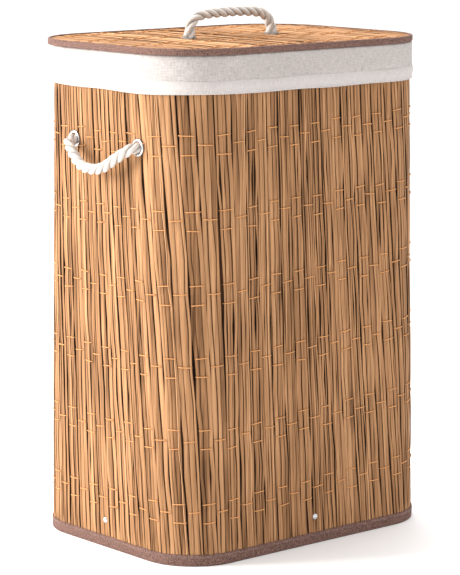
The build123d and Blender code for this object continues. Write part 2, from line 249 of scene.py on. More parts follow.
# ---- materials
class Finish:
    """A material under construction: short names for the nodes that every finish here uses."""

    def __init__(self, name, roughness, metallic=0.0, specular=0.5):
        self.material = bpy.data.materials.new(name)
        self.material.use_nodes = True
        self.tree = self.material.node_tree
        self.shader = self.tree.nodes["Principled BSDF"]
        self.shader.inputs["Roughness"].default_value = roughness
        self.shader.inputs["Metallic"].default_value = metallic
        self.shader.inputs["Specular IOR Level"].default_value = specular
        self.place = self.tree.nodes.new("ShaderNodeTexCoord")

    def put(self, socket, value):
        """Set a socket to a value, or link it to another socket."""
        if isinstance(value, bpy.types.NodeSocket):
            self.tree.links.new(value, socket)
        else:
            socket.default_value = value

    def node(self, kind, inputs, **settings):
        """A new node with its settings, and with its input sockets set or linked."""
        made = self.tree.nodes.new(kind)
        for name, value in settings.items():
            setattr(made, name, value)
        for socket, value in inputs.items():
            self.put(made.inputs[socket], value)
        return made

    def noise(self, scale, detail, rough, distortion=0.0, uv=False):
        """Noise on object coordinates or on UVs, in metres and multiplied by scale."""
        where = self.place.outputs["UV" if uv else "Object"]
        where = self.node("ShaderNodeMapping", {"Vector": where, "Scale": scale}).outputs["Vector"]
        inputs = {"Vector": where, "Scale": 1.0, "Detail": detail, "Roughness": rough, "Distortion": distortion}
        return self.node("ShaderNodeTexNoise", inputs).outputs["Fac"]

    def math(self, operation, first, second=0.0):
        return self.node("ShaderNodeMath", {0: first, 1: second}, operation=operation).outputs[0]

    def add(self, first, second):
        return self.math("ADD", first, second)

    def times(self, first, second):
        return self.math("MULTIPLY", first, second)

    def map(self, value, low, high, to_low, to_high):
        inputs = {"Value": value, "From Min": low, "From Max": high, "To Min": to_low, "To Max": to_high}
        return self.node("ShaderNodeMapRange", inputs).outputs["Result"]

    def ramp(self, value, *stops):
        """Colour ramp of (position, colour) stops."""
        made = self.node("ShaderNodeValToRGB", {"Fac": value})
        elements = made.color_ramp.elements
        while len(elements) < len(stops):
            elements.new(0.5)
        for element, (position, colour) in zip(elements, stops):
            element.position = position
            element.color = (*colour, 1.0)
        return made.outputs["Color"]

    def mix(self, share, first, second, blend="MIX"):
        inputs = {"Factor": share, 6: first, 7: second}
        return self.node("ShaderNodeMix", inputs, data_type="RGBA", blend_type=blend).outputs[2]

    def shaded(self, colour, amount):
        """A colour multiplied by one number."""
        grey = self.node("ShaderNodeCombineColor", {0: amount, 1: amount, 2: amount})
        return self.mix(1.0, colour, grey.outputs[0], "MULTIPLY")

    def tone(self):
        """The number that the mesh gives each strip or grid."""
        return self.node("ShaderNodeAttribute", {}, attribute_name="tone").outputs["Fac"]

    def sine(self, value, frequency):
        """0 to 1 wave of a coordinate in metres, frequency per metre."""
        turned = self.math("SINE", self.times(value, 2 * math.pi * frequency))
        return self.map(turned, -1, 1, 0, 1)

    def uv(self):
        """The two UV coordinates as separate sockets."""
        split = self.node("ShaderNodeSeparateXYZ", {0: self.place.outputs["UV"]})
        return split.outputs["X"], split.outputs["Y"]

    def bump(self, height, distance, strength=1.0):
        made = self.node("ShaderNodeBump", {"Height": height, "Distance": distance, "Strength": strength})
        self.put(self.shader.inputs["Normal"], made.outputs["Normal"])

    def colour(self, value):
        self.put(self.shader.inputs["Base Color"], value)

    def paint(self, shade, *stops):
        """Colour the surface by a ramp."""
        self.colour(self.ramp(shade, *stops))

    def rough(self, value):
        self.put(self.shader.inputs["Roughness"], value)


def bamboo(name, along):
    """Split bamboo: fibres run along "z" on the wall or "y" on the lid, each strip has its own tone."""
    finish = Finish(name, 0.7, specular=0.1)

    def fibres(across, lengthwise, detail):
        scale = (across, across, lengthwise) if along == "z" else (across, lengthwise, across)
        return finish.noise(scale, detail, 0.6)

    fibre, streak = fibres(800, 12, 4), fibres(240, 7, 3)
    blotch = finish.noise((14, 14, 9), 2, 0.5)
    tone = finish.tone()
    shade = finish.add(tone, finish.map(streak, 0.25, 0.75, -0.2, 0.2))
    shade = finish.add(shade, finish.map(blotch, 0.3, 0.7, -0.06, 0.06))
    # The darkest stops serve the painted shade of strip edges and of the backing layers.
    base = finish.ramp(
        shade,
        (0.0, (0.010, 0.004, 0.002)),
        (0.20, (0.100, 0.045, 0.018)),
        (0.45, (0.338, 0.171, 0.079)),
        (0.65, (0.460, 0.245, 0.119)),
        (1.0, (0.620, 0.357, 0.187)),
    )
    finish.colour(finish.shaded(base, finish.map(fibre, 0.3, 0.7, 0.76, 1.12)))
    finish.rough(finish.map(streak, 0.3, 0.7, 0.62, 0.80))
    finish.bump(finish.add(fibre, finish.times(streak, 1.5)), 0.25 * MM, 0.7)
    return finish.material


def thread_finish():
    finish = Finish("tying_thread", 0.7, specular=0.2)
    u, v = finish.uv()
    twist = finish.sine(finish.add(finish.times(u, 0.6), v), 900)
    dark, light = (0.50, 0.22, 0.080, 1.0), (0.80, 0.41, 0.17, 1.0)
    finish.colour(finish.mix(finish.times(twist, finish.tone()), dark, light))
    finish.bump(twist, 0.12 * MM)
    return finish.material


def weave(finish, warp, weft):
    """Height of a plain weave on UVs: threads per metre each way."""
    u, v = finish.uv()
    over = finish.sine(u, warp / 2)
    under = finish.sine(v, weft / 2)
    across = finish.times(finish.sine(u, warp), finish.math("GREATER_THAN", over, 0.5))
    down = finish.times(finish.sine(v, weft), finish.math("GREATER_THAN", under, 0.5))
    return finish.math("MAXIMUM", across, down)


def linen():
    """Off-white linen: plain weave with slubs both ways, paler where the cloth is double and tone is 1."""
    finish = Finish("liner_linen", 0.88, specular=0.2)
    slub_u = finish.noise((1000, 120, 1), 3, 0.65, uv=True)
    slub_v = finish.noise((130, 1000, 1), 3, 0.65, uv=True)
    yarn = finish.add(slub_u, slub_v)
    cloud = finish.noise((9, 9, 9), 2, 0.5)
    shade = finish.add(finish.map(yarn, 0.7, 1.3, 0.0, 1.0), finish.map(cloud, 0.3, 0.7, -0.08, 0.08))
    single = finish.ramp(
        shade, (0.1, (0.346, 0.312, 0.295)), (0.5, (0.456, 0.416, 0.396)), (0.9, (0.547, 0.504, 0.485))
    )
    double = finish.ramp(shade, (0.1, (0.480, 0.437, 0.422)), (0.9, (0.595, 0.552, 0.533)))
    finish.colour(finish.mix(finish.tone(), single, double))
    finish.bump(finish.add(weave(finish, 1500, 1500), finish.times(yarn, 1.6)), 0.18 * MM, 0.8)
    return finish.material


def tape(name, dark, light):
    """Woven binding tape: fine ribs across it and a speckled yarn."""
    finish = Finish(name, 0.8, specular=0.15)
    speckle = finish.noise((850, 850, 850), 2, 0.7)
    yarn = finish.noise((900, 160, 1), 3, 0.6, uv=True)
    rib = weave(finish, 1300, 1100)
    shade = finish.add(finish.times(rib, 0.25), finish.map(speckle, 0.3, 0.7, 0.0, 0.75))
    shade = finish.add(shade, finish.map(yarn, 0.3, 0.7, -0.15, 0.15))
    finish.paint(shade, (0.15, dark), (0.75, light))
    finish.bump(finish.add(rib, speckle), 0.2 * MM, 0.8)
    return finish.material


def cotton(name, bright=1.0):
    """Cotton rope yarn: fine slanting fibres on each strand, with painted shade where the strands meet."""
    finish = Finish(name, 0.9, specular=0.2)
    u, v = finish.uv()
    fibre = finish.noise((900, 120, 1), 3, 0.6, 0.4, uv=True)
    yarn = finish.sine(finish.add(u, finish.times(v, 0.55)), 1000)
    soil = finish.noise((90, 90, 90), 3, 0.6)
    shade = finish.add(finish.times(yarn, 0.25), finish.times(fibre, 0.5))
    shade = finish.add(shade, finish.map(soil, 0.3, 0.7, 0.0, 0.35))
    low = tuple(bright * c for c in (0.36, 0.32, 0.285))
    high = tuple(bright * c for c in (0.67, 0.62, 0.575))
    yarns = finish.ramp(shade, (0.15, low), (0.65, high))
    # The mesh's tone multiplies the yarn colour: painted shade between the rope's strands, and a random tone on
    # the tufts.
    finish.colour(finish.shaded(yarns, finish.map(finish.tone(), 0.0, 1.0, 0.35, 1.05)))
    finish.bump(finish.add(finish.times(yarn, 0.6), fibre), 0.35 * MM, 0.8)
    return finish.material


def bright_metal():
    finish = Finish("bright_nickel", 0.16, metallic=1.0)
    scratch = finish.noise((1500, 1500, 220), 3, 0.7)
    finish.paint(scratch, (0.2, (0.46, 0.46, 0.47)), (0.8, (0.68, 0.68, 0.69)))
    finish.rough(finish.map(scratch, 0.3, 0.7, 0.12, 0.28))
    finish.bump(scratch, 0.03 * MM, 0.4)
    return finish.material


def drawn_wire():
    finish = Finish("drawn_wire", 0.35, metallic=1.0)
    line = finish.noise((60, 60, 2500), 3, 0.6)
    finish.paint(line, (0.2, (0.30, 0.30, 0.31)), (0.8, (0.52, 0.52, 0.53)))
    finish.bump(line, 0.05 * MM, 0.5)
    return finish.material


def hardboard():
    """Pressed fibreboard: brown, mottled, with fine fibres."""
    finish = Finish("hardboard", 0.62)
    mottle = finish.noise((220, 220, 220), 5, 0.7)
    fibre = finish.noise((1400, 300, 700), 3, 0.6)
    shade = finish.add(finish.times(mottle, 0.6), finish.times(fibre, 0.4))
    finish.paint(shade, (0.3, (0.16, 0.085, 0.045)), (0.7, (0.36, 0.22, 0.125)))
    finish.bump(shade, 0.15 * MM, 0.6)
    return finish.material


WALL_BAMBOO = bamboo("wall_bamboo", "z")
LID_BAMBOO = bamboo("lid_bamboo", "y")
TYING_THREAD = thread_finish()
LINEN = linen()
TAPE_CLOTH = tape("binding_tape_cloth", (0.028, 0.011, 0.008), (0.270, 0.156, 0.126))
TAPE_THREAD = tape("binding_stitch_thread", (0.10, 0.055, 0.045), (0.44, 0.29, 0.25))
LINING_CLOTH = tape("lining_cloth", (0.33, 0.28, 0.225), (0.52, 0.47, 0.41))
COTTON = cotton("rope_cotton")
TUFT_COTTON = cotton("tuft_cotton", 1.08)
METAL = bright_metal()
WIRE = drawn_wire()
HARDBOARD = hardboard()


# ---- bamboo mats
def strip_section(left, right, out, camber, tilt, thickness=0.6 * MM):
    """Section points of a strip, as distances sideways and outwards, at each station: front, then back."""
    across = np.array([-1.0, -0.8, 0.0, 0.8, 1.0])
    across = np.concatenate([across, [0.96, 0.0, -0.96]])
    depth = np.array([0.25, 0.0, 0.0, 0.0, 0.25, 1.0, 1.0, 1.0])
    middle, half = (left + right) / 2, (right - left) / 2
    side = middle[:, None] + half[:, None] * across
    rise = out[:, None] + camber * (1 - across**2) - thickness * depth + tilt[:, None] * across
    return side, rise


# Painted shade over a strip's section: its edges and its back are darker, where strips meet and overlap.
STRIP_PAINTED_SHADE = np.array([0.30, 0.92, 1.0, 0.92, 0.30, 0.2, 0.2, 0.2])   # shade over a strip's section


def bundle(places, threads, pitch, source, loose=1.0):
    """Strips of one bundle: left and right edges at places along it, lift, tone, and if it is the backing.

    A bundle is drawn in at its threads. Its edges run straight from a thread to the middle of the free length
    up to the next one, so wedge-shaped gaps open there, wider ones where the bundle is loose.
    """
    free = np.diff(threads) > 2 * THREAD_PAIR
    middles = (threads[:-1] + threads[1:])[free] / 2
    stations = np.sort(np.concatenate([[places[0]], threads, middles, [places[-1]]]))
    tied = np.isin(stations, threads)
    count = source.choice([3, 3, 4, 4, 5])
    widths = source.uniform(0.6, 1.6, count)
    shares = np.concatenate([[0], np.cumsum(widths) / widths.sum()]) - 0.5
    jitter = np.where(tied, 0.3, 1.2)[:, None] * MM * source.uniform(-1, 1, (len(stations), count + 1))
    shift = np.where(tied, 0.7, 0.4)[:, None] * MM * source.uniform(-1, 1, (len(stations), 1))
    edges = shares * np.where(tied, 0.94, 1.04)[:, None] * pitch + jitter + shift
    gaps = np.where(tied, 0.10, 0.30)[:, None] * MM * source.rand(len(stations), count + 1)
    gaps[:, [0, -1]] += 0.12 * MM
    wide = (source.rand(len(stations), count + 1) < 0.15) & ~tied[:, None]
    gaps = gaps * loose + wide * source.uniform(0.4, 1.3, wide.shape) * loose * MM
    strips = []
    for number in range(count):
        left = np.interp(places, stations, edges[:, number] + gaps[:, number])
        right = np.interp(places, stations, edges[:, number + 1] - gaps[:, number + 1])
        lift = (0.3 if number % 2 else -0.25) * MM + source.uniform(-0.2, 0.2) * MM
        strips.append((left, right, lift, source.uniform(0.38, 0.66), False))
    for _ in range(source.choice([0, 0, 1, 1])):
        sideways = source.uniform(-0.4, 0.4) * pitch + source.uniform(-1.4, 1.4, len(stations)) * MM
        lean = np.interp(places, stations, sideways)
        half = source.uniform(0.4, 1.1) * MM
        strips.append((lean - half, lean + half, 0.65 * MM, source.uniform(0.42, 0.95), False))
    # The backing layer under the strips gets a near-black tone: painted shade for the gaps between them.
    half = np.full(len(places), pitch * 0.53)
    strips.append((-half, half, -1.7 * MM, source.uniform(0.02, 0.10), True))
    return strips


def thread_places(rows, column):
    """Where threads cross a column: a pair at each row in every second column, one in the others."""
    if column % 2:
        return rows
    return np.sort(np.concatenate([rows - THREAD_PAIR / 2, rows + THREAD_PAIR / 2]))


def nearness(places, threads, reach):
    """1 at the threads of a bundle, falling to 0 away from them."""
    return np.exp(-(((places[:, None] - threads) / reach) ** 2)).max(axis=1)


def row_drift(distance):
    """How far a row of thread climbs along the wall: lowest on the left face, highest on the right one."""
    front = wall_plan.starts[4] + wall_plan.runs[4] / 2
    return 8.1 * MM * math.sin(2 * math.pi * (distance - front) / wall_plan.length)


def wall_strips():
    """Every strip of the wall, in four pieces by face, and the threads that tie them."""
    columns = int(round(wall_plan.length / COLUMN))
    pitch = wall_plan.length / columns
    heights = np.linspace(WALL_BOTTOM, WALL_TOP, 96)
    free = smooth(WALL_BOTTOM + 12 * MM, WALL_BOTTOM + 24 * MM, heights)
    free = free * (1 - smooth(hem_low.z - 12 * MM, hem_low.z + 2 * MM, heights))
    middle_height = (WALL_BOTTOM + WALL_TOP) / 2
    skins = {name: Skin() for name in ("left", "front", "right", "back")}
    threads = Skin()
    source = np.random.RandomState(11)
    for column in range(columns):
        start = (column + 0.5) * pitch
        axis = start + SKEW * (middle_height - heights)
        axis = axis + waves(heights, 0.6, 2, 0, 2, source) * 0.5 * MM
        rows = np.arange(ROWS) * ROW_GAP + FIRST_ROW + row_drift(start) + source.uniform(-1.5, 1.5, ROWS) * MM
        levels = thread_places(rows, column)
        pinch = nearness(heights, levels, 11 * MM)
        _, _, nx, ny = wall_plan.at(start)
        facing = {"left": -nx, "right": nx, "front": -ny, "back": ny}
        face = max(facing, key=facing.get)
        for left, right, lift, tone, backing in bundle(heights, levels, pitch, source):
            sway = waves(heights, 0.6, 2, 2, 5, source) * 0.2 * MM
            tilt = source.uniform(-0.45, 0.45) * MM * free * (not backing)
            out = (lift - 0.45 * MM * pinch + sway) * free - 0.5 * MM
            camber = 0.0 if backing else source.uniform(0.15, 0.5) * MM
            side, rise = strip_section(left + axis, right + axis, out, camber, tilt)
            points = wall_plan.points(side, rise, heights[:, None])
            skins[face].grid(points, wrap_u=True, tone=tone * STRIP_PAINTED_SHADE)
        # An inner layer deeper in the mat: the reversed painted shade darkens its outward face, so gaps between
        # bundles read as shadow.
        deep = np.full_like(heights, -3.3 * MM)
        side, rise = strip_section(axis - pitch / 2, axis + pitch / 2, deep, 0.0, 0 * heights, 0.4 * MM)
        points = wall_plan.points(side, rise, heights[:, None])
        skins[face].grid(points, wrap_u=True, tone=source.uniform(0.4, 0.6) * STRIP_PAINTED_SHADE[::-1])
        for level in levels:
            if level < hem_low.z - 4 * MM:
                tie_threads(threads, np.interp(level, heights, axis), level, pitch, source)
    for name, skin in skins.items():
        place(skin.make(f"wall_strips_{name}", WALL_BAMBOO), "basket", "bamboo", "bamboo_wall")
    place(threads.make("wall_tying_threads", TYING_THREAD), "basket", "bamboo")


def tie_threads(threads, middle, level, pitch, source):
    """One thread over a bundle and its return on the inside."""
    t = np.linspace(-1, 1, 11)
    half = pitch * source.uniform(0.40, 0.47)
    shift = source.uniform(-0.8, 0.8) * MM
    slope = source.uniform(-0.3, 0.9) * MM
    sag = source.uniform(-0.35, 0.35) * MM
    height = level + slope * t + sag * (1 - t**2)
    dive = np.abs(t) ** 10
    distance = middle + shift + half * t
    outside = wall_plan.points(distance, 0.45 * MM - 1.8 * MM * dive, height)
    threads.tube(outside, THREAD * (1 - 0.3 * dive), 6, source.uniform(0.6, 1.0))
    inside = wall_plan.points(distance, -MAT - 0.2 * MM + 1.5 * MM * dive, height)
    threads.tube(inside, THREAD * 0.9, 4, source.uniform(0.6, 1.0))


def lid_strips():
    """The lid's mat: strips from front to back, tied in rows from left to right, cut to the lid's outline."""
    inset = 1.5 * MM
    half_x, half_y, corner = LID_HALF_X - inset, LID_HALF_Y - inset, LID_CORNER - inset
    top = LID_TOP - TAPE
    source = np.random.RandomState(31)
    columns = int(round(2 * half_x / COLUMN))
    pitch = 2 * half_x / columns
    skin, threads = Skin(), Skin()
    rows = (np.arange(4) - 1.5) * ROW_GAP
    places = np.linspace(-half_y, half_y, 60)

    def reach(x):
        """Half length of a strip at sideways place x."""
        past = np.clip(np.abs(x) - (half_x - corner), 0, corner)
        return half_y - corner + np.sqrt(np.maximum(corner**2 - past**2, 0))

    for column in range(columns):
        start = -half_x + (column + 0.5) * pitch
        levels = thread_places(rows + source.uniform(-2, 2, 4) * MM, column)
        pinch = nearness(places, levels, 11 * MM)
        for left, right, lift, tone, backing in bundle(places, levels, pitch, source, 3.0):
            middle = start + (left + right).mean() / 2
            inside = np.minimum(reach(middle) * (1 - np.abs(places) / half_y), half_x - abs(middle))
            free = smooth(2 * MM, 9 * MM, inside)
            out = (lift * 0.8 - 0.4 * MM * pinch) * free - 0.45 * MM
            tilt = source.uniform(-0.4, 0.4) * MM * free * (not backing)
            camber = 0.0 if backing else source.uniform(0.15, 0.45) * MM
            side, up = strip_section(left + start, right + start, out, camber, tilt)
            side = np.clip(side, -half_x, half_x)
            y = places[:, None] * reach(side) / half_y
            skin.grid(np.stack([side + LID_X, y, up + top], -1), wrap_u=True, tone=tone * STRIP_PAINTED_SHADE)
        for level in levels:
            if reach(abs(start) + pitch / 2) - abs(level) < 8 * MM:
                continue
            t = np.linspace(-1, 1, 11)
            dive = np.abs(t) ** 10
            across = start + pitch * source.uniform(0.40, 0.47) * t + LID_X
            y = level + source.uniform(-0.8, 0.8) * MM * t
            z = top + 0.3 * MM - 1.8 * MM * dive
            radius = THREAD * (0.75 - 0.2 * dive)
            threads.tube(np.stack([across, y, z], -1), radius, 6, source.uniform(0.4, 0.8))
    place(skin.make("lid_strips", LID_BAMBOO), "lid", "bamboo", "lid_mat")
    place(threads.make("lid_tying_threads", TYING_THREAD), "lid", "bamboo")


# ---- tapes that follow a plan
def around(plan, spacing=4 * MM):
    """Distances for one walk round a plan."""
    return np.linspace(0, plan.length, int(plan.length / spacing) + 1)[:-1]


def swept(plan, profile, name, material, wobble=0.0, waver=0.0, seed=1, spacing=4 * MM):
    """A closed section carried round a plan: a list of (offset, height, how free it is to waver)."""
    source = np.random.RandomState(seed)
    distance = around(plan, spacing)
    profile = np.array(profile)
    ripple = waves(distance, plan.length, 5, 8, 60, source) * wobble
    flutter = waves(distance, plan.length, 6, 20, 160, source) * waver
    offset = profile[:, 0][:, None] + ripple[None] * profile[:, 2][:, None]
    height = profile[:, 1][:, None] + flutter[None] * profile[:, 2][:, None]
    points = plan.points(distance, offset, height)
    girth = travelled(np.concatenate([profile, profile[:1]])[:, :2])
    skin = Skin()
    skin.grid(points, np.append(distance, plan.length), girth, wrap_u=True, wrap_v=True)
    return skin.make(name, material)


def bend(centre, radius, start, end, steps=4, free=0.0):
    """Points of a rounded corner in a section, angles in degrees from outwards, towards up."""
    angles = np.radians(np.linspace(start, end, steps))
    return [(centre[0] + radius * math.cos(a), centre[1] + radius * math.sin(a), free) for a in angles]


def stitches(name, plan, offset, height, length, gap, radius, seed, body):
    """A running stitch round a plan: stitches of one length, with gaps between them."""
    source = np.random.RandomState(seed)
    count = int(plan.length / (length + gap))
    step = plan.length / count
    skin = Skin()
    for number in range(count):
        t = np.linspace(-0.5, 0.5, 5)
        distance = (number + 0.5) * step + t * length
        rise = (0.25 - t**2) * 4 * radius
        x, y, _, _ = plan.at(distance, offset + rise - radius * 0.8, height)
        z = height + source.uniform(-1, 1) * 0.15 * MM + source.uniform(-0.3, 0.5) * MM * t
        skin.tube(np.stack([x, y, z], -1), radius, 5, source.uniform(0.3, 1.0))
    place(skin.make(name, TAPE_THREAD), body, "binding_tape")


def bottom_binding():
    """Tape folded over the wall's lower edge, sewn near its upper edge."""
    top, low = binding_high.z, binding_low.z
    profile = [(-0.4 * MM, top - 0.3 * MM, 1.0), (0.3 * MM, top, 1.0), (TAPE, top - 0.7 * MM, 1.0)]
    profile += [(TAPE + 0.3 * MM, (top + low) / 2, 0.5)]
    profile += bend((TAPE - 1.4 * MM, low + 1.4 * MM), 1.4 * MM, 0, -90)
    profile += bend((-MAT - TAPE + 1.4 * MM, low + 1.4 * MM), 1.4 * MM, -90, -180)
    profile += [(-MAT - TAPE, top - 1 * MM, 0.3), (-MAT - 0.2 * MM, top, 0.3), (-MAT, low + 2 * MM, 0.0)]
    profile += [(-0.3 * MM, low + 2 * MM, 0.0)]
    piece = swept(wall_plan, profile, "bottom_binding_tape", TAPE_CLOTH, 0.25 * MM, 0.35 * MM, 3)
    place(piece, "basket", "binding_tape", "bottom_binding")
    for row, height in enumerate((top - 2.2 * MM, top - 3.6 * MM)):
        stitches(
            f"bottom_binding_stitches_{row + 1}", wall_plan, TAPE + 0.25 * MM, height, 2.3 * MM, 1.1 * MM,
            0.38 * MM, 41 + row, "basket",
        )


def top_binding():
    """Tape folded over the wall's upper edge, hidden by the liner's cuff until that is lifted off."""
    top, low = rim_high.z, rim_low.z
    profile = [(0.1 * MM, low, 1.0), (TAPE, low + 0.6 * MM, 1.0)]
    profile += bend((TAPE - 1.4 * MM, top - 1.4 * MM), 1.4 * MM, 0, 90)
    profile += bend((-MAT - TAPE + 1.4 * MM, top - 1.4 * MM), 1.4 * MM, 90, 180)
    profile += [(-MAT - TAPE, low + 0.6 * MM, 0.3), (-MAT - 0.1 * MM, low, 0.3), (-MAT, top - 2 * MM, 0.0)]
    profile += [(-0.1 * MM, top - 2 * MM, 0.0)]
    piece = swept(wall_plan, profile, "top_binding_tape", TAPE_CLOTH, 0.1 * MM, 0.3 * MM, 5)
    place(piece, "basket", "binding_tape", "top_binding")
    stitches(
        "top_binding_stitches", wall_plan, TAPE + 0.1 * MM, low + 2.2 * MM, 2.3 * MM, 1.1 * MM, 0.35 * MM, 43,
        "basket",
    )


def lid_binding():
    """Tape folded round the lid's edge."""
    top, low = lid_high.z, lid_low.z
    profile = [(-4.2 * MM, top - 0.5 * MM, 1.0), (-3.6 * MM, top + 0.1 * MM, 1.0)]
    profile += [(-2.2 * MM, top + 0.1 * MM, 0.4)]
    profile += bend((-1.6 * MM, top - 1.6 * MM), 1.6 * MM, 80, 5, 5)
    profile += bend((-1.6 * MM, low + 1.6 * MM), 1.6 * MM, -5, -90, 5)
    profile += [(-7 * MM, low, 0.3), (-8 * MM, low + 0.3 * MM, 0.6), (-7.6 * MM, low + 0.8 * MM, 0.6)]
    profile += [(-1.0 * MM, low + 1.0 * MM, 0.0), (-0.9 * MM, top - 1.0 * MM, 0.0)]
    profile += [(-3.8 * MM, top - 0.9 * MM, 0.0)]
    piece = swept(lid_plan, profile, "lid_binding_tape", TAPE_CLOTH, 0.15 * MM, 0.12 * MM, 6)
    place(piece, "lid", "binding_tape", "lid_binding")


def seam_tape():
    """The tape over the mat's seam on the back wall, outside and inside."""
    skin = Skin()
    height = np.linspace(seam_low.z, seam_high.z, 70)
    across = np.array([-1.0, -0.96, -0.5, 0.0, 0.5, 0.96, 1.0])
    middle, half = (seam_low.x + seam_high.x) / 2, (seam_high.x - seam_low.x) / 2
    source = np.random.RandomState(51)
    for face, sign in ((seam_high.y, 1), (seam_low.y, -1)):
        ripple = waves(height, 0.6, 4, 5, 30, source) * 0.3 * MM
        x = middle + (half + ripple[:, None]) * across
        lift = np.array([0.9, 0.1, 0.0, 0.12, 0.0, 0.1, 0.9]) * TAPE
        y = face - sign * lift + ripple[:, None] * 0.2
        grid = np.stack([x, y, np.broadcast_to(height[:, None], x.shape)], -1)
        skin.grid(grid, middle + half * across, height)
    place(skin.make("wall_seam_tape_cloth", TAPE_CLOTH), "basket", "binding_tape", "wall_seam_tape")


def round_section(node, end, steps, free=0.0):
    """Section of a wire or sleeve that follows the wall inside it, as far round as the angle end."""
    low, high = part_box(node)
    radius = (high.z - low.z) / 2
    return bend((high.x - radius - HALF_X, low.z + radius), radius, 0, end, steps, free)


def frame_sleeves():
    """Cloth sleeves sewn round the two wire frames."""
    for node, seed in (("top_frame_sleeve", 61), ("base_frame_sleeve", 62)):
        profile = round_section(node, 330, 12, 0.4)
        piece = swept(wall_plan, profile, f"{node}_cloth", LINING_CLOTH, 0.25 * MM, 0.25 * MM, seed, 3 * MM)
        place(piece, "basket", "lining_cloth", node)


def frame_wires():
    """The two steel wire frames inside their sleeves."""
    for node in ("top_frame", "base_frame"):
        piece = swept(wall_plan, round_section(node, 324, 10), f"{node}_wire", WIRE)
        place(piece, "basket", "steel_wire", node)


def base_loops():
    """Webbing loops from the rivets round the base frame."""
    low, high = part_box("base_frame_sleeve")
    radius = (high.z - low.z) / 2
    inwards, height = HALF_X - MAT - (high.x - radius), low.z + radius
    wrap = radius + 0.8 * MM
    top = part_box("base_loop_left")[1].z
    course = [(1.6 * MM, top), (1.7 * MM, 29 * MM)]
    for angle in np.radians(np.linspace(20, -180, 14)):
        course.append((inwards + wrap * math.cos(angle), height + wrap * math.sin(angle)))
    course = np.array(course + [(0.6 * MM, 26 * MM), (0.5 * MM, top)])
    along = np.gradient(course, axis=0)
    normal = np.stack([along[:, 1], -along[:, 0]], -1) / np.linalg.norm(along, axis=1)[:, None]
    half_width = 10 * MM
    width = np.linspace(-1, 1, 7) * half_width
    for face, (out_x, out_y) in FACES.items():
        skin = Skin()
        for side in (-0.5, 0.5):
            line = course + normal * side * 1.1 * MM
            reach = (HALF_X if out_x else HALF_Y) - MAT - line[:, :1]
            x = reach * out_x - width * out_y
            y = reach * out_y + width * out_x
            grid = np.stack([x, y, np.broadcast_to(line[:, 1:], x.shape)], -1)
            skin.grid(grid, width + half_width, np.arange(len(line)) * 3 * MM)
        place(skin.make(f"base_loop_{face}_webbing", TAPE_CLOTH), "basket", "webbing", f"base_loop_{face}")


# ---- liner
def liner():
    """The linen bag's wall, which hangs in soft folds, and its cuff turned down over the rim."""
    source = np.random.RandomState(71)
    length = wall_plan.length
    distance = around(wall_plan, 3.5 * MM)
    fold_wide = waves(distance, length, 5, 5, 15, source)
    fold_fine = waves(distance, length, 6, 18, 42, source)
    edge_wave = waves(distance, length, 4, 3, 12, source)
    pucker = waves(distance, length, 6, 40, 120, source)
    rim = cuff_high.z
    inset = HALF_X - bag_high.x
    _, _, nx, _ = wall_plan.at(distance)
    end_draw = np.abs(nx) ** 1.5 * 14 * MM       # the ends draw in below the neck, clear of the handle knots
    neck_low, neck_high = 490 * MM, 535 * MM
    rows = []

    def row(offset, height, double=0.0):
        rows.append((offset + 0 * distance, height + 0 * distance, double))

    def hang(slack, height):
        """A row of the wall, by its distance inside the bag's straight shape."""
        drawn = end_draw * (1 - smooth(neck_low, neck_high, height))
        row(-inset - np.maximum(slack + drawn, 0.3 * MM), height)

    for height in np.linspace(BAG_FLOOR, 0.50, 30):
        sag = smooth(0.0, 0.10, height - BAG_FLOOR) * (1 - smooth(0.45, 0.525, height))
        hang((2.8 + 2.6 * fold_wide * sag - 0.9 * np.abs(fold_fine) * sag) * MM, height)
    for height in np.linspace(0.505, rim - 5 * MM, 9):
        hang((0.8 + 1.4 * (1 + fold_wide) * (1 - smooth(0.50, 0.57, height))) * MM, height)
    roll = 2.4 * MM
    for angle in np.radians([165, 140, 115, 92]):
        row(-inset + 0.6 * MM + roll + roll * math.cos(angle), rim - roll + roll * math.sin(angle))
    cuff_out = cuff_high.x - HALF_X
    for angle in np.radians([85, 55, 28, 5]):
        height = rim - roll + roll * math.sin(angle) + 0.15 * MM * pucker
        row(cuff_out - roll + roll * math.cos(angle), height)
    hem_top, hem = hem_high.z, hem_high.x - HALF_X
    for height in np.linspace(rim - 6 * MM, hem_top + 1.2 * MM, 8):
        belly = np.sin(np.pi * smooth(hem_top - 12 * MM, rim, height))
        row(cuff_out + (0.5 + 0.7 * fold_wide) * MM * belly * 0.8 + 0.12 * MM * pucker * (1 - belly), height)
    low = hem_low.z + 0.5 * edge_wave * MM
    row(cuff_out + 0.1 * MM * pucker, hem_top + 0.3 * MM)
    for share in np.linspace(0, 1, 7):
        height = hem_top - 0.2 * MM + (low - hem_top + 1.2 * MM) * share
        bulge = 0.9 * MM * math.sin(math.pi * min(share * 1.3, 1)) + 0.25 * MM
        row(hem - 1.0 * MM + bulge + (0.35 * fold_wide + 0.25 * edge_wave) * MM * share, height, 1.0)
    row(hem - 0.3 * MM + 0.4 * fold_wide * MM, low + 0.3 * MM, 1.0)
    row(hem - 0.9 * MM + 0.4 * fold_wide * MM, low, 1.0)
    row(cuff_out - 0.9 * MM + 0.3 * fold_wide * MM, low + 0.5 * MM)
    row(cuff_out - 0.95 * MM, hem_top)
    offsets, heights, double = (np.array(values) for values in zip(*rows))
    grid = wall_plan.points(distance, offsets, heights)
    walked = np.append(travelled(grid[:, 0]), 0)
    skin = Skin()
    skin.grid(grid, np.append(distance, length), walked, wrap_u=True, tone=double[:, None])
    piece = skin.make("liner_cloth", LINEN)
    solid = piece.modifiers.new("cloth_thickness", "SOLIDIFY")
    solid.thickness, solid.offset = 0.6 * MM, -1
    place(piece, "liner", "linen", "liner_walls", "liner_cuff", "liner_cuff_hem")
    liner_floor(distance, grid[0, :, :2])


